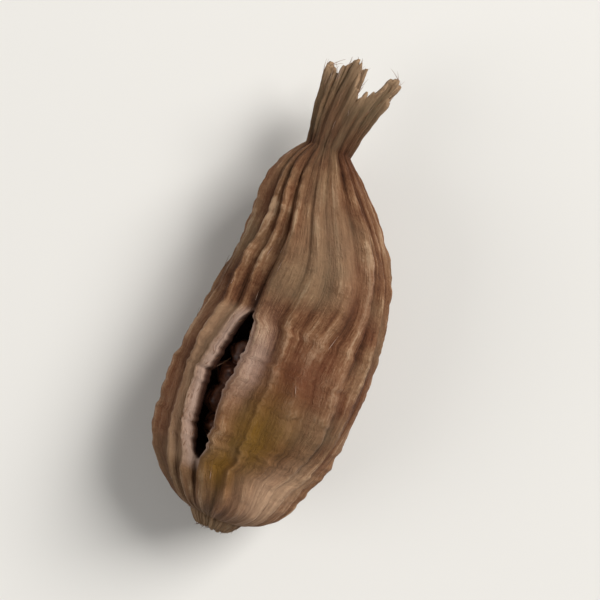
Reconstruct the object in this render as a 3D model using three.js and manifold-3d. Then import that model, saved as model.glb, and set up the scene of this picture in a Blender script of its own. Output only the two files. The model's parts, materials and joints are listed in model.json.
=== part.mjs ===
// A black cardamom pod, dried and smoked, lying on its side, with the seeds that show through its split.
// Millimetres. +X runs from the stalk scar to the tuft and +Z is up.
// The origin is on the ground, under the middle of the pod.
import * as THREE from "three";
import Module from "manifold-3d";
import { mergeVertices } from "three/addons/utils/BufferGeometryUtils.js";

// Driving sizes of the husk
const BODY_LENGTH = 31;
const BODY_WIDTH = 14.2;
const BODY_HEIGHT = 12.9;
const FULLEST_AT = 14;
const SCAR_END = { power: 2.5, root: 0.34 };
const TIP_END = { power: 1.8, root: 0.5 };
const STUB_LENGTH = 1.0;
const STUB_TIP_RADIUS = 1.5;
const STUB_BASE_RADIUS = 2.1;
const NECK_RADIUS = 1.6;
const BOW = 1.6;
const NECK_SWAY = 1.3;
const NECK_SWAY_FROM = 22;
const SCAR_SWAY = 1.1;
const SCAR_SWAY_TO = 4.5;
const END_LIFT = 0.45;
const TRIGON = 0.04;

// The flat spot on which the pod lies
const FLAT_SPOT_CUT = 0.55;
const FLAT_SPOT_HALF_ANGLE = THREE.MathUtils.degToRad(32);
const FLAT_SPOT_FULLNESS = 0.78;
const RELIEF_ON_FLAT_SPOT = 0.1;

// Driving sizes of the ribs
const RIB_COUNT = 18;
const RIB_HEIGHT = 0.6;
const RIB_SHARPNESS = 1.35;
const RIB_SWELL = 0.4;
const RIB_HEIGHT_AT_ENDS = 0.2;
const RIB_WANDER = 0.06;
const DENT_DEPTH = 0.15;

// Slow waves over the pod: strength, waves round it, millimetres along it for each radian, and phase
const WANDER_WAVES = [
  [1, 1, 3.4, 0.6],
  [0.6, 2, -2.3, 2.1],
  [0.35, 3, 1.45, 4.4],
];
const DENT_WAVES = [
  [1, 2, 4.2, 1.3],
  [0.8, 3, -2.9, 0.4],
  [0.6, 1, 2.2, 2.2],
];

// Driving sizes of the tuft, the dried remains of the flower at the pod's tip
const TUFT_LENGTH = 8;
const TUFT_FLARE = 0.8;
const TUFT_WALL = 0.62;
const TUFT_LOBES = 5;
const TUFT_NOTCH = 3.4;
const TUFT_LOBE_LOSS = 2.4;
const TUFT_FLATTENING = 0.8;
const TUFT_BEND = 0.9;

// Driving sizes of the split, a crack along one flank
const SPLIT_ANGLE = THREE.MathUtils.degToRad(54);
const SPLIT_START = 4.2;
const SPLIT_END = 16.6;
const SPLIT_WIDTH = 2.6;
const SPLIT_WIDTH_AT_ENDS = 0.2;
const CLOSED_HALF_ANGLE = 0.05;
const LIP_THICKNESS = 0.9;
const LIP_RAISE = 0.3;
const LIP_REACH = 0.13;
const POCKET_WIDTH = 6.4;
const POCKET_DEPTH = 5.8;

// Driving sizes of the seeds
const SEED_HALF_SIZE = new THREE.Vector3(1.4, 1.2, 1.2);
const SEED_PITCH = 2.05;
const SEEDS_IN_A_ROW = 4;
const SEED_ROW_OFFSET = 1.1;
const SEED_ROW_SHIFT = 0.3;
const SEED_DEPTH = 2.6;
const SEED_CORE_HALF_SIZE = new THREE.Vector3(3.5, 1.5, 1.0);
const SEED_CORE_DEPTH = 3.5;

// Fineness of the mesh
const BODY_ROWS = 46;
const TUFT_ROWS = 6;
const SPLIT_COLUMNS = [-0.85, -0.6, -0.3, -0.12, 0, 0.12, 0.3, 0.6, 0.85];

const TURN = 2 * Math.PI;
const mix = (a, b, share) => a + (b - a) * share;
const clamp = (value) => Math.min(1, Math.max(0, value));
const smooth = (value) => clamp(value) ** 2 * (3 - 2 * clamp(value));
const joined = (a, b) => Math.cbrt(a ** 3 + b ** 3);

// The sum of a list of slow waves at a column and x.
function waves(list, column, x) {
  let sum = 0;
  for (const [strength, round, reach, phase] of list) {
    sum += strength * Math.sin(round * column + x / reach + phase);
  }
  return sum;
}

// A number from 0 to 1 that is always the same for the same index and seed.
function draw(index, seed) {
  const raw = Math.sin(index * 127.1 + seed * 311.7) * 43758.5453;
  return raw - Math.floor(raw);
}

// Ribs of unlike widths round the pod, counted from the split, each with its own height and rhythm.
function makeRibs() {
  const widths = Array.from({ length: RIB_COUNT }, (_, k) => 0.7 + 0.6 * draw(k, 1));
  const total = widths.reduce((sum, width) => sum + width, 0);
  let left = 0;
  return widths.map((width, k) => {
    const right = left + (width / total) * TURN;
    const crest = mix(left, right, 0.4 + 0.2 * draw(k, 2));
    const rib = {
      left,
      crest,
      right,
      height: RIB_HEIGHT * (0.65 + 0.5 * draw(k, 3)),
      wave: 11 + 12 * draw(k, 4),
      phase: TURN * draw(k, 5),
    };
    left = right;
    return rib;
  });
}
const RIBS = makeRibs();

// The body's half width as a share of its largest, blunt at the scar and drawn in at the tip.
function fullness(x) {
  const towardsTip = x > FULLEST_AT;
  const reach = towardsTip ? BODY_LENGTH - FULLEST_AT : FULLEST_AT;
  const { power, root } = towardsTip ? TIP_END : SCAR_END;
  const share = Math.min(1, Math.abs(x - FULLEST_AT) / reach);
  return (1 - share ** power) ** root;
}

// How far along the tuft x is, from 0 at the neck to 1 at the end of its longest lobe.
const beyondNeck = (x) => Math.max(0, (x - BODY_LENGTH) / TUFT_LENGTH);

// The radius of the stub at one end and of the neck and flaring tuft at the other.
function stemRadius(x) {
  const stub = mix(STUB_TIP_RADIUS, STUB_BASE_RADIUS, smooth(1 + x / STUB_LENGTH));
  return mix(stub, NECK_RADIUS, smooth(x / BODY_LENGTH)) + TUFT_FLARE * beyondNeck(x) ** 1.4;
}

// Half the width and half the height of the pod at x.
function section(x) {
  const full = fullness(x);
  const stem = stemRadius(x);
  const flattening = mix(1, TUFT_FLATTENING, smooth((x - BODY_LENGTH + 2) / 5));
  return {
    width: joined((full * BODY_WIDTH) / 2, stem / flattening),
    height: joined((full * BODY_HEIGHT) / 2, stem * flattening),
  };
}

// The pod's middle line: bowed sideways, with ends that sway to opposite sides and are a little raised.
function middle(x) {
  const bow = BOW * Math.sin(Math.PI * clamp(x / BODY_LENGTH));
  const neck = NECK_SWAY * smooth((x - NECK_SWAY_FROM) / (BODY_LENGTH - NECK_SWAY_FROM));
  const scar = SCAR_SWAY * smooth(1 - x / SCAR_SWAY_TO);
  return {
    y: neck - bow - scar - TUFT_BEND * beyondNeck(x) ** 2,
    z: END_LIFT * ((x - FULLEST_AT) / FULLEST_AT) ** 2,
  };
}

// The sideways wander of the ribs and the split along the pod, in radians.
function wander(column, x) {
  return RIB_WANDER * waves(WANDER_WAVES, column, x) * smooth(fullness(x) * 1.5);
}

// How far the split is open at x, from 0, closed, to 1.
function openness(x) {
  const half = (SPLIT_END - SPLIT_START) / 2;
  const offset = (x - SPLIT_START - half) / half;
  return Math.abs(offset) < 1 ? Math.sqrt(1 - offset ** 2) : 0;
}
const pocketShare = (x) => smooth(openness(x) * 1.6);

// Half the gap between the lips, as an angle.
function lipAngle(x) {
  const gap = (SPLIT_WIDTH / 2) * mix(SPLIT_WIDTH_AT_ENDS, 1, openness(x));
  return mix(CLOSED_HALF_ANGLE, gap / section(x).width, pocketShare(x));
}

// The angle from the split of a column of the skin, which the open lips push aside.
function columnAngle(column, x) {
  const side = column > Math.PI ? -1 : 1;
  const away = side > 0 ? column : TURN - column;
  if (away < CLOSED_HALF_ANGLE) return side * lipAngle(x) * (away / CLOSED_HALF_ANGLE);
  const share = (away - CLOSED_HALF_ANGLE) / (Math.PI - CLOSED_HALF_ANGLE);
  return side * mix(lipAngle(x), Math.PI, share);
}

// The height of the ribs: sharp crests between round valleys.
function ribHeight(column, x) {
  const rib = RIBS.find((one) => column <= one.right) ?? RIBS[RIB_COUNT - 1];
  const reach = column < rib.crest ? rib.crest - rib.left : rib.right - rib.crest;
  const away = Math.min(1, Math.abs(column - rib.crest) / reach);
  const swell = 1 + RIB_SWELL * Math.sin((TURN * x) / rib.wave + rib.phase);
  const fade = mix(RIB_HEIGHT_AT_ENDS, 1, smooth((section(x).width - 1.5) / 4));
  return rib.height * swell * (1 - away) ** RIB_SHARPNESS * fade;
}

// Broad hollows and swellings that drying leaves.
function dents(column, x) {
  return DENT_DEPTH * waves(DENT_WAVES, column, x) * smooth(fullness(x) * 1.2);
}

// How much of the relief stays at an angle: most of it is pressed away where the pod lies.
function reliefKept(angle, x) {
  const fromBelow = Math.acos(-Math.sin(angle)) / FLAT_SPOT_HALF_ANGLE;
  const overTheSpot = smooth((fullness(x) - FLAT_SPOT_FULLNESS) * 7);
  return mix(1, mix(RELIEF_ON_FLAT_SPOT, 1, smooth(fromBelow)), overTheSpot);
}

// The raised edge of the open split.
function lipRaise(column, x) {
  const away = Math.min(column, TURN - column) - CLOSED_HALF_ANGLE;
  return LIP_RAISE * pocketShare(x) * Math.exp(-((away / LIP_REACH) ** 2));
}

// A point at an angle and a height above the plain section, round the middle line.
function around(x, angle, raise) {
  const { width, height } = section(x);
  const { y, z } = middle(x);
  const trigon = 1 - TRIGON * fullness(x) * Math.cos(3 * (angle - SPLIT_ANGLE));
  return new THREE.Vector3(
    x,
    y + (width * trigon + raise) * Math.cos(angle),
    z + (height * trigon + raise) * Math.sin(angle),
  );
}

// A point of the outer skin.
function skin(column, x) {
  const angle = SPLIT_ANGLE + columnAngle(column, x) + wander(column, x);
  const relief = (ribHeight(column, x) + dents(column, x)) * reliefKept(angle, x);
  return around(x, angle, relief + lipRaise(column, x));
}

// A point inside the split, at a distance across it and a depth under the skin.
function insideSplit(x, across, depth) {
  const angle = SPLIT_ANGLE + wander(0, x);
  const mouth = around(x, angle, dents(0, x));
  const inward = new THREE.Vector3(0, -Math.cos(angle), -Math.sin(angle));
  const sideways = new THREE.Vector3(0, -Math.sin(angle), Math.cos(angle));
  return mouth.addScaledVector(inward, depth).addScaledVector(sideways, across);
}

// A point of the pocket's wall: across goes from -1 at one lip, by 0 at the floor, to 1 at the other.
function pocket(across, x) {
  const open = pocketShare(x);
  const gap = lipAngle(x) * section(x).width;
  const wide = mix(gap, POCKET_WIDTH / 2, open ** 2);
  const path = [
    [0, 0, POCKET_DEPTH],
    [0.12, 0.62 * wide, 0.93 * POCKET_DEPTH],
    [0.3, wide, 0.55 * POCKET_DEPTH],
    [0.6, mix(gap, wide, 0.75), 1.5 * LIP_THICKNESS],
    [0.85, 0.97 * gap, 0.7 * LIP_THICKNESS],
  ];
  const [, aside, depth] = path.find(([at]) => at === Math.abs(across));
  const closed = skin((TURN + across * CLOSED_HALF_ANGLE) % TURN, x);
  return closed.lerp(insideSplit(x, Math.sign(across) * aside, depth), open);
}

// The columns of the skin's mesh: four for each rib, then those of the pocket.
function skinColumns() {
  const columns = RIBS.flatMap(({ left, crest, right }) => [
    left,
    (left + crest) / 2,
    crest,
    (crest + right) / 2,
  ]);
  columns[0] = CLOSED_HALF_ANGLE;
  columns.push(TURN - CLOSED_HALF_ANGLE);
  return columns;
}

// The tip of the tuft is torn into lobes of unlike length, between notches of unlike depth.
function tuftEnd(column) {
  const lobe = ((column / TURN) * TUFT_LOBES + 0.35) % TUFT_LOBES;
  const notch = Math.abs(Math.cos(Math.PI * lobe)) ** 1.6;
  const depth = TUFT_NOTCH * (0.6 + 0.8 * draw(Math.round(lobe) % TUFT_LOBES, 10));
  const loss = TUFT_LOBE_LOSS * draw(Math.floor(lobe), 9);
  return BODY_LENGTH + TUFT_LENGTH - mix(loss, depth, notch);
}

// A point of the tuft at a share of the way from the neck to its torn end, inset from its outside.
function tuft(column, share, inset) {
  const x = mix(BODY_LENGTH, tuftEnd(column), share);
  const outer = skin(column, x);
  const { y, z } = middle(x);
  const towards = new THREE.Vector3(0, y - outer.y, z - outer.z);
  return outer.addScaledVector(towards.normalize(), inset);
}

// Rings of points from the scar's middle, along the skin, over the tuft's edge and down its throat.
function huskRings() {
  const columns = skinColumns();
  const rings = [];
  const scar = [
    [0.5, -0.75],
    [0.86, -1],
  ];
  for (const [share, depth] of scar) {
    const onRim = columns.map((column) => skin(column, -STUB_LENGTH));
    const axis = new THREE.Vector3(depth * STUB_LENGTH, middle(0).y, middle(0).z);
    rings.push(onRim.map((point) => axis.clone().lerp(point.setX(axis.x), share)));
  }
  for (let row = 0; row <= BODY_ROWS; row++) {
    const share = (1 - Math.cos((Math.PI * row) / BODY_ROWS)) / 2;
    const x = mix(-0.8 * STUB_LENGTH, BODY_LENGTH, mix(row / BODY_ROWS, share, 0.6));
    rings.push(columns.map((column) => skin(column, x)));
    rings.at(-1).split = SPLIT_COLUMNS.map((across) => pocket(across, x));
  }
  for (let row = 1; row <= TUFT_ROWS; row++) {
    rings.push(columns.map((column) => tuft(column, row / TUFT_ROWS, 0)));
  }
  for (const [share, inset] of [
    [0.97, TUFT_WALL],
    [0.6, TUFT_WALL],
    [0.3, TUFT_WALL * 1.2],
  ]) {
    rings.push(columns.map((column) => tuft(column, share, inset)));
  }
  return rings;
}

// A closed mesh over rings of points that start and end in one point each.
function skinOver(first, rings, last) {
  const points = [first, ...rings.flat(), last];
  const size = rings[0].length;
  const triangles = [];
  const at = (ring, column) => 1 + ring * size + (column % size);
  for (let column = 0; column < size; column++) {
    triangles.push(0, at(0, column + 1), at(0, column));
    triangles.push(points.length - 1, at(rings.length - 1, column), at(rings.length - 1, column + 1));
    for (let ring = 0; ring + 1 < rings.length; ring++) {
      const [near, nearBeside] = [at(ring, column), at(ring, column + 1)];
      const [far, farBeside] = [at(ring + 1, column), at(ring + 1, column + 1)];
      triangles.push(near, nearBeside, farBeside, near, farBeside, far);
    }
  }
  const geometry = new THREE.BufferGeometry().setFromPoints(points);
  geometry.setIndex(triangles);
  return geometry;
}

// The husk with its stub, ribs, split, pocket and tuft: it grew as one piece.
function makeHusk() {
  const rings = huskRings().map((ring) => {
    const before = ring.at(-1);
    const after = ring[0];
    const across = ring.split ?? SPLIT_COLUMNS.map((share) => before.clone().lerp(after, (share + 1) / 2));
    return [...ring, ...across];
  });
  const scarMiddle = new THREE.Vector3(-0.6 * STUB_LENGTH, middle(0).y, middle(0).z);
  const throatAt = BODY_LENGTH + 0.25 * TUFT_LENGTH;
  const throat = new THREE.Vector3(throatAt, middle(throatAt).y, middle(throatAt).z);
  const geometry = skinOver(scarMiddle, rings, throat);
  return standOnFlatSpot(geometry);
}

// The lowest crests are pressed flat, so that the pod rests on one small spot.
function standOnFlatSpot(geometry) {
  geometry.computeBoundingBox();
  const floor = geometry.boundingBox.min.z + FLAT_SPOT_CUT;
  const position = geometry.getAttribute("position");
  for (let i = 0; i < position.count; i++) {
    position.setZ(i, Math.max(floor, position.getZ(i)));
  }
  geometry.computeBoundingBox();
  return geometry;
}

// One angular seed, or the core of pulp that the seeds are stuck to.
function lump(centre, halfSize, detail, seed) {
  const geometry = new THREE.IcosahedronGeometry(1, detail);
  geometry.deleteAttribute("normal");
  geometry.deleteAttribute("uv");
  const merged = mergeVertices(geometry, 1e-4);
  const turned = new THREE.Euler(0, 0.3 * (draw(seed, 6) - 0.5), 0.5 * (draw(seed, 7) - 0.5));
  merged.scale(halfSize.x, halfSize.y, halfSize.z);
  merged.applyMatrix4(new THREE.Matrix4().makeRotationFromEuler(turned));
  merged.rotateX(SPLIT_ANGLE - Math.PI / 2);
  merged.translate(centre.x, centre.y, centre.z);
  return merged;
}

// The seeds in two rows under the split, stuck to a core of dried pulp.
function makeSeeds(wasm) {
  const solid = (geometry) => {
    const vertProperties = geometry.getAttribute("position").array;
    const triVerts = new Uint32Array(geometry.getIndex().array);
    return new wasm.Manifold(new wasm.Mesh({ numProp: 3, vertProperties, triVerts }));
  };
  const splitMiddle = (SPLIT_START + SPLIT_END) / 2;
  const core = insideSplit(splitMiddle, 0, SEED_CORE_DEPTH);
  let mass = solid(lump(core, SEED_CORE_HALF_SIZE, 1, 0));
  for (const side of [-1, 1]) {
    for (let k = 0; k < SEEDS_IN_A_ROW; k++) {
      const seed = 1 + k + (side > 0 ? SEEDS_IN_A_ROW : 0);
      const along = (k - (SEEDS_IN_A_ROW - 1) / 2) * SEED_PITCH + SEED_ROW_SHIFT * side;
      const taper = 1 - 0.55 * (along / (SEED_PITCH * 2)) ** 2;
      const across = side * SEED_ROW_OFFSET * taper;
      const depth = SEED_DEPTH + 0.3 * (draw(seed, 8) - 0.5);
      const centre = insideSplit(splitMiddle + along, across, depth);
      const halfSize = SEED_HALF_SIZE.clone().multiplyScalar(mix(1, taper, 0.4));
      mass = mass.add(solid(lump(centre, halfSize, 1, seed)));
    }
  }
  const { numProp, vertProperties, triVerts } = mass.getMesh();
  const geometry = new THREE.BufferGeometry();
  geometry.setAttribute("position", new THREE.BufferAttribute(vertProperties, numProp));
  geometry.setIndex(new THREE.BufferAttribute(triVerts, 1));
  return geometry;
}

const wasm = await Module();
wasm.setup();

const huskMaterial = new THREE.MeshStandardMaterial({ color: 0x5d3e2d, roughness: 0.8, metalness: 0 });
const seedMaterial = new THREE.MeshStandardMaterial({ color: 0x2b1710, roughness: 0.45, metalness: 0 });

const husk = new THREE.Mesh(makeHusk(), huskMaterial);
husk.name = "husk";
const seeds = new THREE.Mesh(makeSeeds(wasm), seedMaterial);
seeds.name = "seeds";

// The pod is set down with its flat spot on the ground and its box centred over the origin.
const pod = new THREE.Group();
pod.add(husk, seeds);
const box = new THREE.Box3().setFromObject(husk);
const centre = box.getCenter(new THREE.Vector3());
pod.position.set(-centre.x, -centre.y, -box.min.z);

export default pod;
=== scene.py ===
"""A black cardamom pod, dried and smoked, dressed in fine detail round its solid model.

The formulas of the shape work in millimetres, and MM turns them to metres where a mesh is made.
"""

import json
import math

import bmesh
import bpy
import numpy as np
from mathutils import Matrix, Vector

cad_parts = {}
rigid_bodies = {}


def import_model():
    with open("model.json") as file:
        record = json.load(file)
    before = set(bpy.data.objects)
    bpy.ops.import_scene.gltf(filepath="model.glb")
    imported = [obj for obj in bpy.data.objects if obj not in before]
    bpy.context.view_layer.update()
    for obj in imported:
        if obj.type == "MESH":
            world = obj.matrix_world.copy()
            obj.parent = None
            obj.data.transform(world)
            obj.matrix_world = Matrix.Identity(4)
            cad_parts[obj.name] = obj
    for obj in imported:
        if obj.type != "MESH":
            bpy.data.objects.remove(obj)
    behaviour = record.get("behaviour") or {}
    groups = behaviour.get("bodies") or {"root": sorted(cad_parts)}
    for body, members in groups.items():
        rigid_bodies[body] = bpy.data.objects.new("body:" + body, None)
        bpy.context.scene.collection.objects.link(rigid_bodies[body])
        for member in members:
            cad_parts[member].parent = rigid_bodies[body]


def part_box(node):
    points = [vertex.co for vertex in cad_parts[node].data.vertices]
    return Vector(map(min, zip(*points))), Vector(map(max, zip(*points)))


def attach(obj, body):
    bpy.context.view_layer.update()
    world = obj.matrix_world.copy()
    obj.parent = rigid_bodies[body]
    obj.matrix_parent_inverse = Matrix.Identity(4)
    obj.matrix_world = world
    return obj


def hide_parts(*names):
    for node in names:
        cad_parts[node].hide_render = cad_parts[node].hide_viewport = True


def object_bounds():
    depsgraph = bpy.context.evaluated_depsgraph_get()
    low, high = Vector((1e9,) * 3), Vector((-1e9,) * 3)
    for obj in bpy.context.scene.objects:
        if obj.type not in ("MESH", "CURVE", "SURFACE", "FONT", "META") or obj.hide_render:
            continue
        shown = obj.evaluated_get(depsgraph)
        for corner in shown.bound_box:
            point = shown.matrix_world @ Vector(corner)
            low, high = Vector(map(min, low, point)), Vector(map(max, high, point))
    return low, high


bl_info = {
    "name": "Black Cardamom Pod",
    "version": (1, 0, 0),
    "blender": (4, 5, 0),
    "location": "3D View > Sidebar > Pod",
    "description": "Makes the ribbed husk, the seeds and the loose fibres of a dried black cardamom pod",
    "category": "Add Mesh",
}

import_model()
CAD_LOW, CAD_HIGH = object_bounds()

MM = 0.001
TURN = 2 * math.pi

# The form of the husk, as in its solid
BODY_LENGTH = 31
BODY_WIDTH = 14.2
BODY_HEIGHT = 12.9
FULLEST_AT = 14
SCAR_END_POWER, SCAR_END_ROOT = 2.5, 0.34
TIP_END_POWER, TIP_END_ROOT = 1.8, 0.5
STUB_LENGTH = 1.0
STUB_TIP_RADIUS = 1.5
STUB_BASE_RADIUS = 2.1
NECK_RADIUS = 1.6
BOW = 1.6
NECK_SWAY = 1.3
NECK_SWAY_FROM = 22
SCAR_SWAY = 1.1
SCAR_SWAY_TO = 4.5
END_LIFT = 0.45
TRIGON = 0.04
FLAT_SPOT_HALF_ANGLE = math.radians(32)
FLAT_SPOT_FULLNESS = 0.78
RELIEF_ON_FLAT_SPOT = 0.1
GIRTH_RADIUS = 7.3

# The ribs, as in the solid
RIB_COUNT = 18
RIB_HEIGHT = 0.6
RIB_SHARPNESS = 1.35
RIB_SWELL = 0.4
RIB_HEIGHT_AT_ENDS = 0.2
RIB_WANDER = 0.06
DENT_DEPTH = 0.15

# Slow waves over the pod: strength, waves round it, millimetres along it for each radian, and phase
WANDER_WAVES = ((1, 1, 3.4, 0.6), (0.6, 2, -2.3, 2.1), (0.35, 3, 1.45, 4.4))
DENT_WAVES = ((1, 2, 4.2, 1.3), (0.8, 3, -2.9, 0.4), (0.6, 1, 2.2, 2.2))

# The tuft, as in the solid
TUFT_LENGTH = 8
TUFT_FLARE = 0.8
TUFT_WALL = 0.62
TUFT_LOBES = 5
TUFT_NOTCH = 3.4
TUFT_LOBE_LOSS = 2.4
TUFT_FLATTENING = 0.8
TUFT_BEND = 0.9

# The split, as in the solid
SPLIT_ANGLE = math.radians(54)
SPLIT_START = 4.2
SPLIT_END = 16.6
SPLIT_WIDTH = 2.6
SPLIT_WIDTH_AT_ENDS = 0.2
CLOSED_HALF_ANGLE = 0.05
LIP_THICKNESS = 0.9
LIP_RAISE = 0.3
LIP_REACH = 0.13
FURROW_REACH = 0.09
POCKET_WIDTH = 6.4
POCKET_DEPTH = 5.8

# The seeds, as in the solid
SEED_HALF_SIZE = np.array([1.4, 1.2, 1.2])
SEED_PITCH = 2.05
SEEDS_IN_A_ROW = 4
SEED_ROW_OFFSET = 1.1
SEED_ROW_SHIFT = 0.3
SEED_ROW_TAPER = 0.55
SEED_DEPTH = 2.6
SEED_DEPTH_SPREAD = 0.3
PULP_HALF_SIZE = np.array([3.5, 1.5, 1.0])
PULP_DEPTH = 3.5

# Fineness of the husk's mesh
COLUMNS_A_RIB = 16
POCKET_COLUMNS = 30
BODY_ROWS = 236
TUFT_ROWS = 40
THROAT_ROWS = 18
SCAR_ROWS = 10

# Soft spots of colour: x, turns from the split, and reach along and round the husk in millimetres
SPOTS = {
    "ochre": ((7.4, 0.092, 3.6, 2.6), (4.3, 0.055, 2, 2.2)),
    # A painted highlight on the end beside the stalk.
    "pale": ((2.9, 0.2, 2.6, 4),),
    "rust": ((12.7, 0.13, 3.3, 3.4),),
    "dusty": ((23, 0.11, 3.6, 3.6),),
    "bloom": ((12.9, 0.036, 2.8, 1),),
    # A dark spot where the split closes: painted shade in the furrow.
    "split_end_shade": ((SPLIT_END + 0.7, 0, 0.9, 0.5),),
}

# The torn edge's colour, pale as torn fibre and as a painted highlight: its width on each lip, and the band
# of painted light below it, as angles round the husk
UPPER_LIP_WIDTH, LOWER_LIP_WIDTH = 0.035, 0.1
LIGHT_BAND_AT, LIGHT_BAND_WIDTH = 0.22, 0.2

# How patterns are scaled across the fibres, twice, and along them. A small number draws them out.
FIBRE_SHAPE = (1, 1, 0.09)
STREAK_SHAPE = (1, 1, 0.1)
WRINKLE_SHAPE = (0.42, 0.42, 1)

# How patterns are turned so that they don't line up with the pod
OBLIQUE = {"Axis": (0.5, 0.7, 0.4), "Angle": 0.8}

# How close the husk's puckers, the seeds' ridges and the bends of the loose fibres lie
PUCKERS_PER_MM = 0.33
SEED_RIDGES_PER_MM = 1.1
DRIFTS_PER_METRE = 420.0

# Steps of this share of a turn spread places evenly
GOLDEN_SHARE = 0.618

# What turns a number for each square centimetre into one for each square metre
PER_SQUARE_METRE = 1e4

# The face of the scar: shares of the way out to its rim, and x there as a share of the stub's length
SCAR_PROFILE = ((0, 0.5, 0.86, 1), (-0.6, -0.75, -1, -0.9))

# The height over which the fine relief sets in above the floor, and what the lining and the lips lose of it
RELIEF_FROM_FLOOR = 0.9
RELIEF_LOST_INSIDE, RELIEF_LOST_ON_LIPS = 0.6, 0.65

# Sockets of the node that mixes two colours
MIX_FACTOR, MIX_A, MIX_B, MIX_RESULT = 0, 6, 7, 2


# Numbers

def mix(a, b, share):
    return a + (b - a) * share


def smooth(value):
    share = np.clip(value, 0, 1)
    return share**2 * (3 - 2 * share)


def joined(a, b):
    return np.cbrt(a**3 + b**3)


def draw(index, seed):
    """A number from 0 to 1 that is always the same for the same index and seed."""
    raw = np.sin(index * 127.1 + seed * 311.7) * 43758.5453
    return raw - np.floor(raw)


def ripple(value, lengths, seed):
    """An uneven wave from about -1 to 1: sines of the given wavelengths, with drawn phases."""
    parts = [np.sin(TURN * (value / length + draw(k, seed))) for k, length in enumerate(lengths)]
    return sum(parts) / math.sqrt(len(lengths))


def waves(terms, column, x):
    """The sum of a list of slow waves at a column and x."""
    return sum(
        strength * np.sin(turns * column + x / reach + phase) for strength, turns, reach, phase in terms)


def curve_through(knots, stops, at):
    """Places on a smooth curve that passes through a stop at each knot."""
    slopes = np.gradient(stops, knots, axis=0)
    after = np.clip(np.searchsorted(knots, at), 1, len(knots) - 1)
    span = (knots[after] - knots[after - 1]).reshape(-1, 1, 1)
    share = (at - knots[after - 1]).reshape(-1, 1, 1) / span
    ahead = 3 * share**2 - 2 * share**3
    leaving = (share - 2 * share**2 + share**3) * span * slopes[after - 1]
    arriving = (share**3 - share**2) * span * slopes[after]
    return stops[after - 1] * (1 - ahead) + stops[after] * ahead + leaving + arriving


# The husk's form. A column is an angle round the husk counted from the split, and x runs from scar to tuft.

def make_ribs():
    """The columns where each rib starts, peaks and ends, and its height, wavelength and phase."""
    index = np.arange(RIB_COUNT)
    widths = 0.7 + 0.6 * draw(index, 1)
    edges = np.concatenate([[0], np.cumsum(widths)]) / widths.sum() * TURN
    crests = mix(edges[:-1], edges[1:], 0.4 + 0.2 * draw(index, 2))
    heights = RIB_HEIGHT * (0.65 + 0.5 * draw(index, 3))
    return edges[:-1], crests, edges[1:], heights, 11 + 12 * draw(index, 4), TURN * draw(index, 5)


RIB_LEFT, RIB_CREST, RIB_RIGHT, RIB_TALL, RIB_WAVE, RIB_PHASE = make_ribs()


def fullness(x):
    """The body's half width as a share of its largest, blunt at the scar and drawn in at the tip."""
    reach = np.where(x > FULLEST_AT, BODY_LENGTH - FULLEST_AT, FULLEST_AT)
    share = np.minimum(1, np.abs(x - FULLEST_AT) / reach)
    towards_tip = (1 - share**TIP_END_POWER) ** TIP_END_ROOT
    return np.where(x > FULLEST_AT, towards_tip, (1 - share**SCAR_END_POWER) ** SCAR_END_ROOT)


def beyond_neck(x):
    return np.maximum(0, (x - BODY_LENGTH) / TUFT_LENGTH)


def section(x):
    """Half the width and half the height of the pod at x."""
    full = fullness(x)
    stub = mix(STUB_TIP_RADIUS, STUB_BASE_RADIUS, smooth(1 + x / STUB_LENGTH))
    stem = mix(stub, NECK_RADIUS, smooth(x / BODY_LENGTH)) + TUFT_FLARE * beyond_neck(x) ** 1.4
    flattening = mix(1, TUFT_FLATTENING, smooth((x - BODY_LENGTH + 2) / 5))
    return joined(full * BODY_WIDTH / 2, stem / flattening), joined(full * BODY_HEIGHT / 2, stem * flattening)


def middle(x):
    """The pod's middle line: bowed sideways, with raised ends that sway to opposite sides."""
    bow = BOW * np.sin(math.pi * np.clip(x / BODY_LENGTH, 0, 1))
    neck = NECK_SWAY * smooth((x - NECK_SWAY_FROM) / (BODY_LENGTH - NECK_SWAY_FROM))
    scar = SCAR_SWAY * smooth(1 - x / SCAR_SWAY_TO)
    lift = END_LIFT * ((x - FULLEST_AT) / FULLEST_AT) ** 2
    return neck - bow - scar - TUFT_BEND * beyond_neck(x) ** 2, lift


def wander(column, x):
    """The sideways wander of the ribs and the split along the pod, in radians."""
    return RIB_WANDER * waves(WANDER_WAVES, column, x) * smooth(fullness(x) * 1.5)


def openness(x):
    """How far the split is open at x, from 0, closed, to 1."""
    half = (SPLIT_END - SPLIT_START) / 2
    offset = np.clip((x - SPLIT_START - half) / half, -1, 1)
    return np.sqrt(1 - offset**2)


def pocket_share(x):
    return smooth(openness(x) * 1.6)


def lip_angle(x, side):
    """Half the gap between the lips, as an angle, with the small jags of a torn edge."""
    uneven = 0.75 + 0.75 * ripple(x, (6.1, 3.3), 24 + side)
    jags = settings().husk.lip_jags / MM * uneven * ripple(x, (3.7, 2.1, 1.1, 0.63), 20 + side)
    gap = SPLIT_WIDTH / 2 * mix(SPLIT_WIDTH_AT_ENDS, 1, openness(x)) + jags
    return mix(CLOSED_HALF_ANGLE, gap / section(x)[0], pocket_share(x))


def column_angle(column, x):
    """The angle from the split of a column of the skin, which the open lips push aside."""
    side = np.where(column > math.pi, -1, 1)
    away = np.where(side > 0, column, TURN - column)
    lip = lip_angle(x, side)
    share = (away - CLOSED_HALF_ANGLE) / (math.pi - CLOSED_HALF_ANGLE)
    return side * np.where(away < CLOSED_HALF_ANGLE, lip * away / CLOSED_HALF_ANGLE, mix(lip, math.pi, share))


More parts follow.
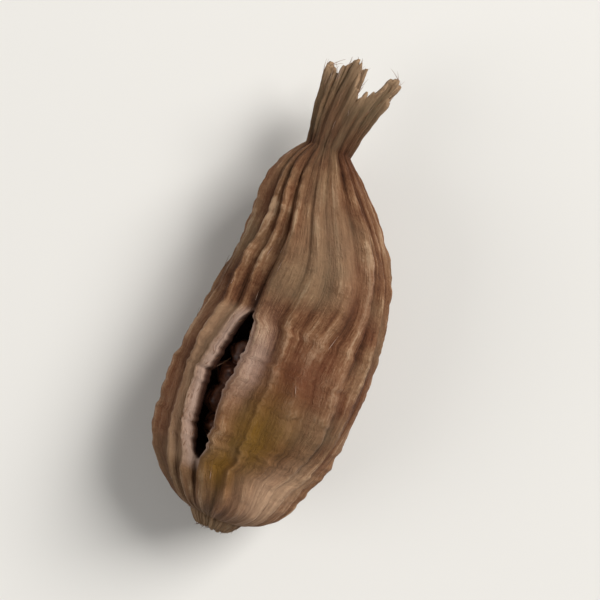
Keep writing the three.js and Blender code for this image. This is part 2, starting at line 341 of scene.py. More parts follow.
def crest_share(column):
    """The rib that a column is on, and how near it is to the crest, from 0 in a groove to 1."""
    rib = np.minimum(np.searchsorted(RIB_RIGHT, column), RIB_COUNT - 1)
    reach = np.where(column < RIB_CREST[rib], RIB_CREST[rib] - RIB_LEFT[rib], RIB_RIGHT[rib] - RIB_CREST[rib])
    away = np.minimum(1, np.abs(column - RIB_CREST[rib]) / reach)
    rounding = 0.1
    rounded = (np.sqrt(away**2 + rounding**2) - rounding) / (math.sqrt(1 + rounding**2) - rounding)
    return rib, 1 - rounded


def rib_height(column, x):
    """The height of the ribs: narrow crests with small knots, between round grooves."""
    rib, near = crest_share(column)
    swell = 1 + RIB_SWELL * np.sin(TURN * x / RIB_WAVE[rib] + RIB_PHASE[rib])
    knots = 1 + settings().husk.rib_knots * ripple(x, (4.3, 2.6, 1.5), 40 + rib)
    fade = mix(RIB_HEIGHT_AT_ENDS, 1, smooth((section(x)[0] - 1.5) / 4))
    return RIB_TALL[rib] * swell * knots * near**RIB_SHARPNESS * fade


def dents(column, x):
    """Broad hollows and swellings that drying leaves."""
    return DENT_DEPTH * waves(DENT_WAVES, column, x) * smooth(fullness(x) * 1.2)


def relief_kept(angle, x):
    """How much of the relief stays: most of it is pressed away where the pod lies."""
    from_below = np.arccos(-np.sin(angle)) / FLAT_SPOT_HALF_ANGLE
    over_the_spot = smooth((fullness(x) - FLAT_SPOT_FULLNESS) * 7)
    return mix(1, mix(RELIEF_ON_FLAT_SPOT, 1, smooth(from_below)), over_the_spot)


def from_split(column):
    return np.minimum(column, TURN - column)


def lip_raise(column, x):
    """The raised edge of the open split, and the furrow that runs on from its ends."""
    away = np.maximum(0, from_split(column) - CLOSED_HALF_ANGLE)
    raised = LIP_RAISE * pocket_share(x) * np.exp(-((away / LIP_REACH) ** 2))
    closed = (1 - pocket_share(x)) * smooth(fullness(x) * 1.5 - 0.3)
    depth = settings().husk.furrow_depth / MM * closed
    return raised - depth * np.exp(-((from_split(column) / FURROW_REACH) ** 2))


def lip_along(x):
    """Where the pale torn edge runs, pale as torn fibre and as a painted highlight: along the split and round
    its ends, further round the lower one.
    """
    return smooth((x - SPLIT_START + 1.3) / 1.1) * smooth((SPLIT_END + 0.4 - x) / 1.1)


def around(x, angle, raised):
    """A point at an angle and a height above the plain section, round the middle line."""
    width, height = section(x)
    y, z = middle(x)
    trigon = 1 - TRIGON * fullness(x) * np.cos(3 * (angle - SPLIT_ANGLE))
    across = y + (width * trigon + raised) * np.cos(angle)
    up = z + (height * trigon + raised) * np.sin(angle)
    return np.stack(np.broadcast_arrays(x, across, up), axis=-1).astype(float)


def skin(column, x):
    """A point of the outer skin."""
    angle = SPLIT_ANGLE + column_angle(column, x) + wander(column, x)
    relief = (rib_height(column, x) + dents(column, x)) * relief_kept(angle, x)
    return around(x, angle, relief + lip_raise(column, x))


def inside_split(x, across, depth):
    """A point inside the split, at a distance across it and a depth under the skin."""
    angle = SPLIT_ANGLE + wander(0, x)
    flat = np.zeros_like(angle)
    inward = np.stack([flat, -np.cos(angle), -np.sin(angle)], axis=-1)
    sideways = np.stack([flat, -np.sin(angle), np.cos(angle)], axis=-1)
    across, depth = np.asarray(across)[..., None], np.asarray(depth)[..., None]
    return around(x, angle, dents(0, x)) + inward * depth + sideways * across


def pocket(across, x):
    """The pocket's wall. Across goes from -1 at one lip, by 0 at the floor, to 1 at the other."""
    open_share = pocket_share(x)
    stops = {}
    for side in (-1, 1):
        gap = lip_angle(x, side) * section(x)[0]
        wide = mix(gap, POCKET_WIDTH / 2, open_share**2)
        # The distance aside and the depth at shares of the way from the floor to a lip
        path = {
            0: (0 * wide, POCKET_DEPTH),
            0.12: (0.62 * wide, 0.93 * POCKET_DEPTH),
            0.3: (wide, 0.55 * POCKET_DEPTH),
            0.6: (mix(gap, wide, 0.75), 1.5 * LIP_THICKNESS),
            0.85: (0.97 * gap, 0.7 * LIP_THICKNESS),
        }
        for share, (aside, depth) in path.items():
            closed = skin(side * share * CLOSED_HALF_ANGLE % TURN, x)
            opened = inside_split(x, side * aside, depth + 0 * aside)
            stops[side * share] = mix(closed, opened, open_share[:, None])
        stops[side] = skin(side * CLOSED_HALF_ANGLE % TURN, x)
    knots = np.array(sorted(stops), dtype=float)
    return curve_through(knots, np.stack([stops[knot] for knot in knots]), across).transpose(1, 0, 2)


def tuft_end(column):
    """The torn tip of the tuft: lobes of unlike length, with frayed edges."""
    lobe = (column / TURN * TUFT_LOBES + 0.35) % TUFT_LOBES
    notch = np.abs(np.cos(math.pi * lobe)) ** 1.6
    depth = TUFT_NOTCH * (0.6 + 0.8 * draw(np.round(lobe) % TUFT_LOBES, 10))
    tip = BODY_LENGTH + TUFT_LENGTH - mix(TUFT_LOBE_LOSS * draw(np.floor(lobe), 9), depth, notch)
    fray = settings().husk.tuft_fray / MM
    return tip + fray * (ripple(column, (0.57, 0.29, 0.13, 0.07), 31) - 0.6)


def tuft(column, share, inset):
    """A point of the tuft, at a share of the way from the neck to its torn end and inset from its outside."""
    x = mix(BODY_LENGTH, tuft_end(column), share)
    outer = skin(column, x)
    y, z = middle(x)
    inward = np.stack([0 * x, y - outer[..., 1], z - outer[..., 2]], axis=-1)
    inward /= np.linalg.norm(inward, axis=-1, keepdims=True)
    curl = settings().husk.tuft_curl / MM * share**2 * ripple(column, (1.3, 0.7, 0.31), 33)
    return outer + inward * (inset - curl)[..., None]


def frame_shift():
    """What moves the formulas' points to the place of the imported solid."""
    low, high = (Vector(corner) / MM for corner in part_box("husk"))
    x = np.linspace(0, BODY_LENGTH, 200)[:, None]
    columns = np.concatenate([RIB_LEFT, RIB_CREST])[None, :]
    body = skin(columns, x).reshape(-1, 3)
    across = (low.y + high.y - body[:, 1].min() - body[:, 1].max()) / 2
    return np.array([low.x + STUB_LENGTH, across, high.z - body[:, 2].max()])


# The husk's mesh

def grid_columns():
    """The column of each line of the mesh, and its place across the pocket: 1 or -1 on the skin."""
    steps = np.arange(COLUMNS_A_RIB // 2) / (COLUMNS_A_RIB // 2)
    starts, ends = np.maximum(RIB_LEFT, CLOSED_HALF_ANGLE), np.minimum(RIB_RIGHT, TURN - CLOSED_HALF_ANGLE)
    halves = [(starts, RIB_CREST), (RIB_CREST, ends)]
    columns = np.stack([mix(a[:, None], b[:, None], steps) for a, b in halves], axis=1).ravel()
    columns = np.append(columns, ends[-1])
    across = np.where(columns < math.pi, 1.0, -1.0)
    inner = np.sin(np.linspace(-1, 1, POCKET_COLUMNS + 2)[1:-1] * math.pi / 2)
    return np.append(columns, inner * CLOSED_HALF_ANGLE % TURN), np.append(across, inner)


def surface(columns, across, x):
    """Points of the skin and of the pocket's wall, a row for each x."""
    points = skin(columns[None, :], x[:, None])
    in_pocket = np.abs(across) < 1
    points[:, in_pocket] = pocket(across[in_pocket], x)
    return points


def describe(columns, across, x, along, **shares):
    """The values that the finish reads at each point of some rows."""
    shape = np.broadcast_shapes(columns[None, :].shape, x.shape)
    inner = (1 - np.abs(across))[None, :] * pocket_share(x)
    girth = GIRTH_RADIUS * (1 - inner)
    away = np.maximum(0, from_split(columns) - CLOSED_HALF_ANGLE)[None, :]
    lower_lip = columns > math.pi
    lip_width = np.where(lower_lip, LOWER_LIP_WIDTH, UPPER_LIP_WIDTH)
    # A band of painted light on the flank beside the lower lip.
    painted_light_band = np.exp(-(((away - LIGHT_BAND_AT) / LIGHT_BAND_WIDTH) ** 2))
    values = {
        "crest": crest_share(columns)[1][None, :] * np.minimum(1, fullness(x) * 1.4),
        "inside": smooth(inner * 14),
        # The lip is pale as torn fibre and as a painted highlight on its raised edge.
        "lip": lip_along(x) * np.exp(-((away / lip_width) ** 2)) * np.exp(-((inner / 0.04) ** 2)),
        "painted_light_band": lip_along(x) * lower_lip * painted_light_band * (inner < 0.01),
        "tuft": 0, "throat": 0, "scar": 0,
        **shares,
    }
    values = {name: np.broadcast_to(value, shape).copy() for name, value in values.items()}
    fibre = np.stack(np.broadcast_arrays(girth * np.cos(columns), girth * np.sin(columns), along), axis=-1)
    return {**values, "fibre": fibre}


def scar_rows(columns, across):
    """The broken face of the stalk, from near its middle to its rim."""
    share = ((np.arange(SCAR_ROWS) + 1) / (SCAR_ROWS + 1))[:, None]
    depth = np.interp(share, *SCAR_PROFILE) * STUB_LENGTH
    grain = settings().husk.scar_grain / MM
    bundles = ripple(columns[None, :], (0.9, 0.41, 0.23), 51) * ripple(share, (0.47, 0.21), 52)
    depth = depth + grain * bundles * smooth(share * 3) * smooth((1 - share) * 5)
    rim = surface(columns, across, np.array([-STUB_LENGTH]))
    y, z = middle(0)
    x = np.full_like(depth, -STUB_LENGTH)
    points = np.stack([depth, mix(y, rim[..., 1], share), mix(z, rim[..., 2], share)], axis=-1)
    return points, describe(columns, across, x, -STUB_LENGTH - (1 - share) * STUB_TIP_RADIUS, scar=1)


def body_rows(columns, across):
    """The stub, the ribbed body and its pocket, with rows that lie closer at both ends."""
    row = np.arange(BODY_ROWS + 1) / BODY_ROWS
    x = mix(-0.8 * STUB_LENGTH, BODY_LENGTH, mix(row, (1 - np.cos(math.pi * row)) / 2, 0.35))
    points = surface(columns, across, x)
    at = x[:, None]
    return points, describe(columns, across, at, at, scar=1 - smooth((at + 0.6) / 1.3))


def tuft_rows(columns, across):
    """The outside of the tuft, from the neck to its torn edge."""
    share = ((np.arange(TUFT_ROWS) + 1) / TUFT_ROWS)[:, None]
    x = mix(BODY_LENGTH, tuft_end(columns)[None, :], share)
    return tuft(columns[None, :], share, 0), describe(columns, across, x, x, tuft=share)


def throat_rows(columns, across):
    """The inside of the tuft, from its thin edge down to the throat."""
    share = np.linspace(1, 0.3, THROAT_ROWS)[:, None]
    wall = TUFT_WALL * mix(0.22, 1.15, smooth((1 - share) * 2.5))
    x = mix(BODY_LENGTH, tuft_end(columns)[None, :], share)
    along = 2 * tuft_end(columns)[None, :] - x
    # throat grows towards the bottom of the tuft's inside, which is painted dark as shade.
    values = describe(columns, across, x, along, tuft=share, throat=1 - share)
    return tuft(columns[None, :], share, wall), values


def closed_grid(name, first, rows, last, values):
    """A closed mesh over rings of points, from one point to another, with its values as attributes."""
    count, size = rows.shape[:2]
    points = np.concatenate([[first], rows.reshape(-1, 3), [last]]) * MM
    at = 1 + np.arange(count * size).reshape(count, size)
    beside = np.roll(at, -1, axis=1)
    quads = np.stack([at[:-1], beside[:-1], beside[1:], at[1:]], axis=-1).reshape(-1, 4)
    start = np.stack([np.zeros(size, int), beside[0], at[0]], axis=-1)
    end = np.stack([np.full(size, count * size + 1), at[-1], beside[-1]], axis=-1)
    mesh = bpy.data.meshes.new(name)
    mesh.from_pydata(points.tolist(), [], quads.tolist() + start.tolist() + end.tolist())
    mesh.shade_smooth()
    for label, value in values.items():
        wide = value.ndim == 3
        attribute = mesh.attributes.new(label, "FLOAT_VECTOR" if wide else "FLOAT", "POINT")
        flat = value.reshape(count * size, -1)
        whole = np.concatenate([flat[:size].mean(axis=0)[None], flat, flat[-size:].mean(axis=0)[None]])
        attribute.data.foreach_set("vector" if wide else "value", whole.astype(np.float32).ravel())
    return mesh


def spot(points, values, x, turns, length, width):
    """A soft spot on the skin, centred at x and at a number of turns from the split."""
    fibre = values["fibre"]
    column = np.arctan2(fibre[..., 1], fibre[..., 0])
    off = (column - turns * TURN + math.pi) % TURN - math.pi
    return np.exp(-(((points[..., 0] - x) / length) ** 2) - (off * GIRTH_RADIUS / width) ** 2)


def husk_mesh():
    """The whole husk, before its fine relief."""
    columns, across = grid_columns()
    parts = [build(columns, across) for build in (scar_rows, body_rows, tuft_rows, throat_rows)]
    rows = np.concatenate([points for points, _ in parts])
    values = {name: np.concatenate([part[name] for _, part in parts]) for name in parts[0][1]}
    for name, places in SPOTS.items():
        strongest = np.max([spot(rows, values, *place) for place in places], axis=0)
        values[name] = strongest * (1 - values["inside"])
    shift = frame_shift()
    y, z = middle(0)
    throat_at = BODY_LENGTH + 0.25 * TUFT_LENGTH
    first = np.array([-0.6 * STUB_LENGTH, y, z]) + shift
    last = np.array([throat_at, *middle(throat_at)]) + shift
    rows = rows + shift
    rows[..., 2] = np.maximum(0, rows[..., 2])
    outside = smooth(rows[..., 2] / RELIEF_FROM_FLOOR) * (1 - RELIEF_LOST_INSIDE * values["inside"])
    values["relief"] = outside * (1 - RELIEF_LOST_ON_LIPS * values["lip"])
    direction = np.gradient(rows, axis=0)
    direction *= np.where(direction[..., :1] < 0, -1, 1)
    direction /= np.maximum(1e-9, np.linalg.norm(direction, axis=-1, keepdims=True))
    values["grain"] = direction * np.where(values["scar"] > 0.5, -1, 1)[..., None]
    return closed_grid("husk_form", first, rows, last, values)


# Nodes

def add(tree, kind, inputs=(), stops=(), out=0, **settings):
    """Adds a node with its settings, and sets or links its inputs, which are given by name or in order.

    A kind without Node in its name is a shader node. Stops are a colour ramp's, its two ends first.
    It gives one output back, or the node if out is None.
    """
    node = tree.nodes.new(kind if "Node" in kind else "ShaderNode" + kind)
    for name, value in settings.items():
        setattr(node, name, value)
    for name, value in inputs.items() if isinstance(inputs, dict) else enumerate(inputs):
        if isinstance(value, bpy.types.NodeSocket):
            tree.links.new(value, node.inputs[name])
        else:
            node.inputs[name].default_value = value
    for index, (position, shade) in enumerate(stops):
        ramp = node.color_ramp.elements
        element = ramp[index] if index < 2 else ramp.new(position)
        element.position, element.color = position, shade
    return node if out is None else node.outputs[out]


def new_geometry_tree(name, sizes, **others):
    """An empty Geometry Nodes tree, and the sockets of its named inputs. Sizes are those that are numbers."""
    tree = bpy.data.node_groups.new(name, "GeometryNodeTree")
    kinds = {"Geometry": "Geometry", **dict.fromkeys(sizes, "Float"), **others, "Material": "Material"}
    for label, kind in kinds.items():
        tree.interface.new_socket(label, in_out="INPUT", socket_type="NodeSocket" + kind)
    tree.interface.new_socket("Geometry", in_out="OUTPUT", socket_type="NodeSocketGeometry")
    return tree, add(tree, "NodeGroupInput", out=None).outputs


def finish_tree(tree, geometry, material):
    """The end of each tree: instances made real, and the material set."""
    real = add(tree, "GeometryNodeRealizeInstances", {"Geometry": geometry})
    dressed = add(tree, "GeometryNodeSetMaterial", {"Geometry": real, "Material": material})
    add(tree, "NodeGroupOutput", {"Geometry": dressed}, out=None)
    return tree


def plain_object(name, mesh):
    piece = bpy.data.objects.new(name, mesh)
    bpy.context.scene.collection.objects.link(piece)
    return piece


def evaluated_mesh(piece, name):
    """What a piece's modifiers make of it, as a plain mesh."""
    depsgraph = bpy.context.evaluated_depsgraph_get()
    mesh = bpy.data.meshes.new_from_object(
        piece.evaluated_get(depsgraph), preserve_all_data_layers=True, depsgraph=depsgraph)
    mesh.name = name
    return mesh


def grow(name, source, tree, values):
    """Runs a Geometry Nodes tree on a source object and returns what it makes as a plain mesh object."""
    modifier = source.modifiers.new(tree.name, "NODES")
    modifier.node_group = tree
    for item in tree.interface.items_tree:
        if item.in_out == "INPUT" and item.name in values:
            modifier[item.identifier] = values[item.name]
    mesh = evaluated_mesh(source, name)
    source.modifiers.remove(modifier)
    return plain_object(name, mesh)


def kept_above_floor(tree, geometry):
    """Lifts whatever would reach below the floor up to it."""
    position = add(tree, "GeometryNodeInputPosition")
    lifted = add(tree, "VectorMath", (position, (-1, -1, 0)), operation="MAXIMUM")
    return add(tree, "GeometryNodeSetPosition", {"Geometry": geometry, "Position": lifted})


def folds_to_ridges(tree, noise, reach):
    """Narrow ridges where a noise passes its middle: 1 on the ridge, and 0 past the reach."""
    off = add(tree, "Math", (noise, 0.5), operation="SUBTRACT")
    fold = add(tree, "Math", {0: off}, operation="ABSOLUTE")
    return add(tree, "MapRange", {0: fold, 2: reach, 3: 1.0, 4: 0.0})


def raised_along_normals(tree, geometry, height, notes):
    """Raises a surface by a height, after noting on it the values that its finish reads."""
    for label, value in notes.items():
        geometry = add(tree, "GeometryNodeStoreNamedAttribute", {
            "Geometry": geometry, "Name": label, "Value": value}, data_type="FLOAT")
    normal = add(tree, "GeometryNodeInputNormal")
    offset = add(tree, "VectorMath", {0: normal, "Scale": height}, operation="SCALE")
    return add(tree, "GeometryNodeSetPosition", {"Geometry": geometry, "Offset": offset})


def random_turn(tree, seed, least, most):
    """A rotation drawn between two sets of angles about X, Y and Z."""
    least, most = add(tree, "CombineXYZ", least), add(tree, "CombineXYZ", most)
    tilt = add(tree, "FunctionNodeRandomValue", {0: least, 1: most, "Seed": seed}, data_type="FLOAT_VECTOR")
    return add(tree, "FunctionNodeEulerToRotation", {"Euler": tilt})


def fine_relief_tree():
    """Raises fibres and wrinkles on a surface that carries fibre coordinates in millimetres."""
    tree, given = new_geometry_tree("fine_relief", (
        "Fibre depth", "Fibres per millimetre", "Wrinkle depth", "Wrinkles per millimetre", "Pucker depth"))
    fibre, crest, relief = (
        add(tree, "GeometryNodeInputNamedAttribute", {"Name": name}, data_type=kind)
        for name, kind in (("fibre", "FLOAT_VECTOR"), ("crest", "FLOAT"), ("relief", "FLOAT")))

    stretched = add(tree, "VectorMath", (fibre, FIBRE_SHAPE), operation="MULTIPLY")
    strands = add(tree, "TexNoise", {
        "Vector": stretched, "Scale": given["Fibres per millimetre"], "Detail": 2.0, "Roughness": 0.55})
    ridge = folds_to_ridges(tree, strands, 0.22)
    raised = add(tree, "Math", (ridge, given["Fibre depth"]), operation="MULTIPLY")

    crossed = add(tree, "VectorMath", (fibre, WRINKLE_SHAPE), operation="MULTIPLY")
    crossed = add(tree, "VectorRotate", {"Vector": crossed, **OBLIQUE})
    folds = add(tree, "TexNoise", {
        "Vector": crossed, "Scale": given["Wrinkles per millimetre"], "Detail": 3.0, "Distortion": 0.6})
    centred = add(tree, "Math", (folds, 0.5), operation="SUBTRACT")
    on_crests = add(tree, "MapRange", {0: crest, 3: 0.6, 4: 1.5})
    weighted = add(tree, "Math", (centred, on_crests), operation="MULTIPLY")
    wrinkled = add(tree, "Math", (weighted, given["Wrinkle depth"], raised), operation="MULTIPLY_ADD")

    broad = add(tree, "TexNoise", {"Vector": fibre, "Scale": PUCKERS_PER_MM, "Detail": 2.0})
    puckers = add(tree, "Math", (broad, 0.5), operation="SUBTRACT")
    whole = add(tree, "Math", (puckers, given["Pucker depth"], wrinkled), operation="MULTIPLY_ADD")
    kept = add(tree, "Math", (whole, relief), operation="MULTIPLY")
    moved = raised_along_normals(tree, given["Geometry"], kept, {"strand": ridge, "wrinkle": folds})
    return finish_tree(tree, kept_above_floor(tree, moved), given["Material"])


def strands_tree():
    """Scatters thin tapered fibres on a surface, along its grain, where a weight attribute allows them."""
    tree, given = new_geometry_tree("strands", (
        "Density", "Length", "Radius", "Bend", "Rise", "Spread", "Sway"), Weight="String", Seed="Int")
    weight, grain = (
        add(tree, "GeometryNodeInputNamedAttribute", {"Name": name}, data_type=kind)
        for name, kind in ((given["Weight"], "FLOAT"), ("grain", "FLOAT_VECTOR")))
    density = add(tree, "Math", (weight, given["Density"]), operation="MULTIPLY")
    scatter = add(tree, "GeometryNodeDistributePointsOnFaces", {
        "Mesh": given["Geometry"], "Density": density, "Seed": given["Seed"]}, out=None).outputs
    laid = add(tree, "FunctionNodeAxesToRotation", {
        "Primary Axis": scatter["Normal"], "Secondary Axis": grain}, primary_axis="Z", secondary_axis="X")
    fall, back = (
        add(tree, "Math", (given[name], -1.0), operation="MULTIPLY") for name in ("Rise", "Spread"))
    turn = random_turn(tree, given["Seed"], (-0.6, fall, back), (0.6, 0.0, given["Spread"]))
    placed = add(tree, "FunctionNodeRotateRotation", {
        "Rotation": laid, "Rotate By": turn}, rotation_space="LOCAL")

    # A bent line of length 1 that starts a little under the skin, and the tapered strand along it
    bend = add(tree, "CombineXYZ", (0.55, 0.0, given["Bend"]))
    line = add(tree, "GeometryNodeCurveQuadraticBezier", {
        "Resolution": 6, "Start": (-0.04, 0, -0.02), "Middle": bend, "End": (1, 0, 0)})
    along = add(tree, "GeometryNodeSplineParameter")
    line = add(tree, "GeometryNodeStoreNamedAttribute", {
        "Geometry": line, "Name": "tip", "Value": along}, data_type="FLOAT")
    taper = add(tree, "MapRange", {0: along, 3: 1.0, 4: 0.22})
    slim = add(tree, "Math", (given["Radius"], given["Length"]), operation="DIVIDE")
    ring = add(tree, "GeometryNodeCurvePrimitiveCircle", {"Resolution": 5, "Radius": slim})
    strand = add(tree, "GeometryNodeCurveToMesh", {
        "Curve": line, "Profile Curve": ring, "Scale": taper, "Fill Caps": True})

    # Strands of 0.35 to 1 times the full length
    size = add(tree, "FunctionNodeRandomValue", {2: 0.35, 3: 1.0, "Seed": given["Seed"]}, out=1)
    length = add(tree, "Math", (size, given["Length"]), operation="MULTIPLY")
    scattered = add(tree, "GeometryNodeInstanceOnPoints", {
        "Points": scatter["Points"], "Instance": strand, "Rotation": placed, "Scale": length})
    real = add(tree, "GeometryNodeRealizeInstances", {"Geometry": scattered})

    position = add(tree, "GeometryNodeInputPosition")
    drift = add(tree, "TexNoise", {"Vector": position, "Scale": DRIFTS_PER_METRE, "Detail": 1.0}, out="Color")
    centred = add(tree, "VectorMath", (drift, (0.5, 0.5, 0.5)), operation="SUBTRACT")
    tip = add(tree, "GeometryNodeInputNamedAttribute", {"Name": "tip"}, data_type="FLOAT")
    amount = add(tree, "Math", (tip, given["Sway"]), operation="MULTIPLY")
    sway = add(tree, "VectorMath", {0: centred, "Scale": amount}, operation="SCALE")
    moved = add(tree, "GeometryNodeSetPosition", {"Geometry": real, "Offset": sway})
    return finish_tree(tree, kept_above_floor(tree, moved), given["Material"])


def seeds_tree():
    """Puts seed shapes, turned at random, on points that carry their sizes, and adds the pulp."""
    tree, given = new_geometry_tree(
        "seeds_in_pulp", ("Turn",), Shapes="Collection", Pulp="Object", Seed="Int")
    shapes = add(tree, "GeometryNodeCollectionInfo", {
        "Collection": given["Shapes"], "Separate Children": True, "Reset Children": True})
    back = add(tree, "Math", (given["Turn"], -1.0), operation="MULTIPLY")
    turned = random_turn(tree, given["Seed"], (-3.0, back, back), (3.0, given["Turn"], given["Turn"]))
    size = add(tree, "GeometryNodeInputNamedAttribute", {"Name": "size"}, data_type="FLOAT_VECTOR")
    which = add(tree, "GeometryNodeInputIndex")
    seeds = add(tree, "GeometryNodeInstanceOnPoints", {
        "Points": given["Geometry"], "Instance": shapes, "Pick Instance": True, "Instance Index": which,
        "Rotation": turned, "Scale": size})
    pulp = add(tree, "GeometryNodeObjectInfo", {"Object": given["Pulp"]}, out="Geometry")
    both = add(tree, "GeometryNodeJoinGeometry", {"Geometry": seeds}, out=None)
    tree.links.new(pulp, both.inputs["Geometry"])
    return finish_tree(tree, both.outputs[0], given["Material"])


def shrivel_tree():
    """Wrinkles a skin with fine ridges, as drying does to seeds."""
    tree, given = new_geometry_tree("shrivelled_skin", ("Ridges per millimetre", "Ridge height"))
    position = add(tree, "GeometryNodeInputPosition")
    in_mm = add(tree, "VectorMath", {0: position, "Scale": 1 / MM}, operation="SCALE")
    noise = add(tree, "TexNoise", {
        "Vector": in_mm, "Scale": given["Ridges per millimetre"], "Detail": 3.0, "Distortion": 0.8})
    ridge = folds_to_ridges(tree, noise, 0.2)
    raised = add(tree, "Math", (ridge, given["Ridge height"]), operation="MULTIPLY")
    moved = raised_along_normals(tree, given["Geometry"], raised, {"ridge": ridge})
    return finish_tree(tree, moved, given["Material"])


# Materials

def linear(code):
    """A colour written as an sRGB hex value, as linear red, green, blue and alpha."""
    values = [int(code[at:at + 2], 16) / 255 for at in (0, 2, 4)]
    return (*(v / 12.92 if v <= 0.04045 else ((v + 0.055) / 1.055) ** 2.4 for v in values), 1.0)


def new_material(name):
    """An empty material, and its node tree."""
    material = bpy.data.materials.new(name)
    material.use_nodes = True
    material.node_tree.nodes.clear()
    return material, material.node_tree


def shaded(material, **inputs):
    """Ends a material in a Principled shader: constants are set on its sockets, and patterns are linked."""
    tree = material.node_tree
    shader = add(tree, "BsdfPrincipled", {label.replace("_", " "): value for label, value in inputs.items()})
    add(tree, "OutputMaterial", {"Surface": shader}, out=None)
    return material


def smoked_husk():
    """Dry plant skin, smoked over a wood fire: matt umber fibres, darker in the grooves and paler on the
    crests as smoke colour and wear and as painted shade and highlight, with painted shade inside the split,
    at its closed end and in the tuft's throat, and painted light beside the lower lip.
    """
    chosen = settings().colours
    material, tree = new_material("Smoked cardamom husk")
    names = ("crest", "strand", "wrinkle", "inside", "lip", "painted_light_band", "tuft", "throat", "scar", *SPOTS)
    marks = {name: add(tree, "Attribute", attribute_name=name, out="Fac") for name in names}
    fibre = add(tree, "Attribute", attribute_name="fibre", out="Vector")

    # Streaks 0.3 mm wide and some millimetres long, as the bast fibres lie, and broad clouds of smoke colour.
    stretched = add(tree, "VectorMath", (fibre, STREAK_SHAPE), operation="MULTIPLY")
    streaks = add(tree, "TexNoise", {"Vector": stretched, "Scale": 2.6, "Detail": 5.0, "Roughness": 0.6})
    turned = add(tree, "VectorRotate", {"Vector": fibre, **OBLIQUE})
    clouds = add(tree, "TexNoise", {"Vector": turned, "Scale": 0.28, "Detail": 4.0})
    flecks = add(tree, "TexNoise", {"Vector": turned, "Scale": 5.0, "Detail": 3.0})
    patches = add(tree, "TexNoise", {"Vector": turned, "Scale": 0.15, "Detail": 3.0}, out="Color")
    channels = add(tree, "SeparateColor", {"Color": patches}, out=None).outputs
    for name, channel in zip(("rusty", "ashen"), channels):
        marks[name] = add(tree, "MapRange", (channel, 0.48, 0.66))
    marks["torn"] = add(tree, "MapRange", (marks["tuft"], 0.72, 1.0))

    # Fibres 0.1 mm wide, too fine for the mesh.
    hair = add(tree, "TexNoise", {"Vector": stretched, "Scale": 8.0, "Detail": 4.0, "Roughness": 0.65})

    # The crest share makes the crests paler and the grooves darker: smoke colour and wear, and also painted
    # highlight on the crests and painted shade in the grooves.
    tone = add(tree, "Math", (marks["crest"], 0.26, 0.1), operation="MULTIPLY_ADD")
    shares = (
        (marks["strand"], 0.2), (streaks, 0.55), (hair, 0.5), (clouds, 0.6), (flecks, 0.25),
        (marks["wrinkle"], 0.3),
    )
    for source, share in shares:
        tone = add(tree, "Math", (source, share, tone), operation="MULTIPLY_ADD")
    tone = add(tree, "MapRange", (tone, 0.99, 1.76))
    colour = add(tree, "ValToRGB", {"Fac": tone}, stops=[
        (0.0, chosen.groove), (1.0, chosen.wear_and_light), (0.28, chosen.flank), (0.55, chosen.body),
        (0.8, chosen.crest)])

    # Each layer is a mark, how strongly it shows, and its colour. The streaks break its edge.
    layers = (
        ("rusty", 0.4, "rust"), ("ashen", 0.45, "ash"), ("rust", 0.78, "rust"), ("dusty", 0.25, "wear_and_light"),
        # The pale end beside the stalk is a painted highlight, and the band beside the lower lip is painted
        # light.
        ("pale", 0.92, "pale"), ("painted_light_band", 0.75, "wear_and_light"), ("ochre", 0.9, "ochre"), ("bloom", 0.6, "lip"),
        # The tuft's throat is painted dark as shade.
        ("tuft", 0.68, "tuft"), ("torn", 0.6, "wear_and_light"), ("throat", 0.75, "groove"), ("scar", 0.8, "scar"),
        # Painted shade on the inside of the husk and at the split's closed end. The lip is pale as torn fibre
        # and as a painted highlight.
        ("split_end_shade", 0.85, "groove"), ("inside", 0.85, "shaded_lining"), ("lip", 0.75, "lip"),
    )
    for mark, strength, shade in layers:
        broken = add(tree, "MapRange", {0: streaks, 1: 0.25, 2: 0.6, 3: 0.55 * strength, 4: strength})
        share = add(tree, "Math", (marks[mark], broken), operation="MULTIPLY", use_clamp=True)
        colour = add(tree, "Mix", {MIX_FACTOR: share, MIX_A: colour, MIX_B: getattr(chosen, shade)},
                     out=MIX_RESULT, data_type="RGBA")

    polish = add(tree, "MapRange", {0: tone, 1: 0.1, 2: 0.9, 3: 0.82, 4: 0.58})
    height = add(tree, "Math", (flecks, 0.5, hair), operation="MULTIPLY_ADD")
    bump = add(tree, "Bump", {"Strength": 1.0, "Distance": 0.18 * MM, "Height": height})
    return shaded(
        material, Base_Color=colour, Roughness=polish, Normal=bump, Specular_IOR_Level=0.25, IOR=1.45)


def frayed_fibre():
    """Loose bast fibre, dry and matt, that the smoke has coloured less than the skin."""
    chosen = settings().colours
    material, tree = new_material("Frayed husk fibre")
    place = add(tree, "TexCoord", out="Object")

    # The shade changes every 1.7 mm or so, which is about a fibre's length.
    shade = add(tree, "TexNoise", {"Vector": place, "Scale": 0.6 / MM, "Detail": 2.0})
    colour = add(tree, "ValToRGB", {"Fac": shade}, stops=[
        (0.3, chosen.body), (0.7, chosen.lip), (0.5, chosen.crest)])
    return shaded(material, Base_Color=colour, Roughness=0.7, Specular_IOR_Level=0.3)


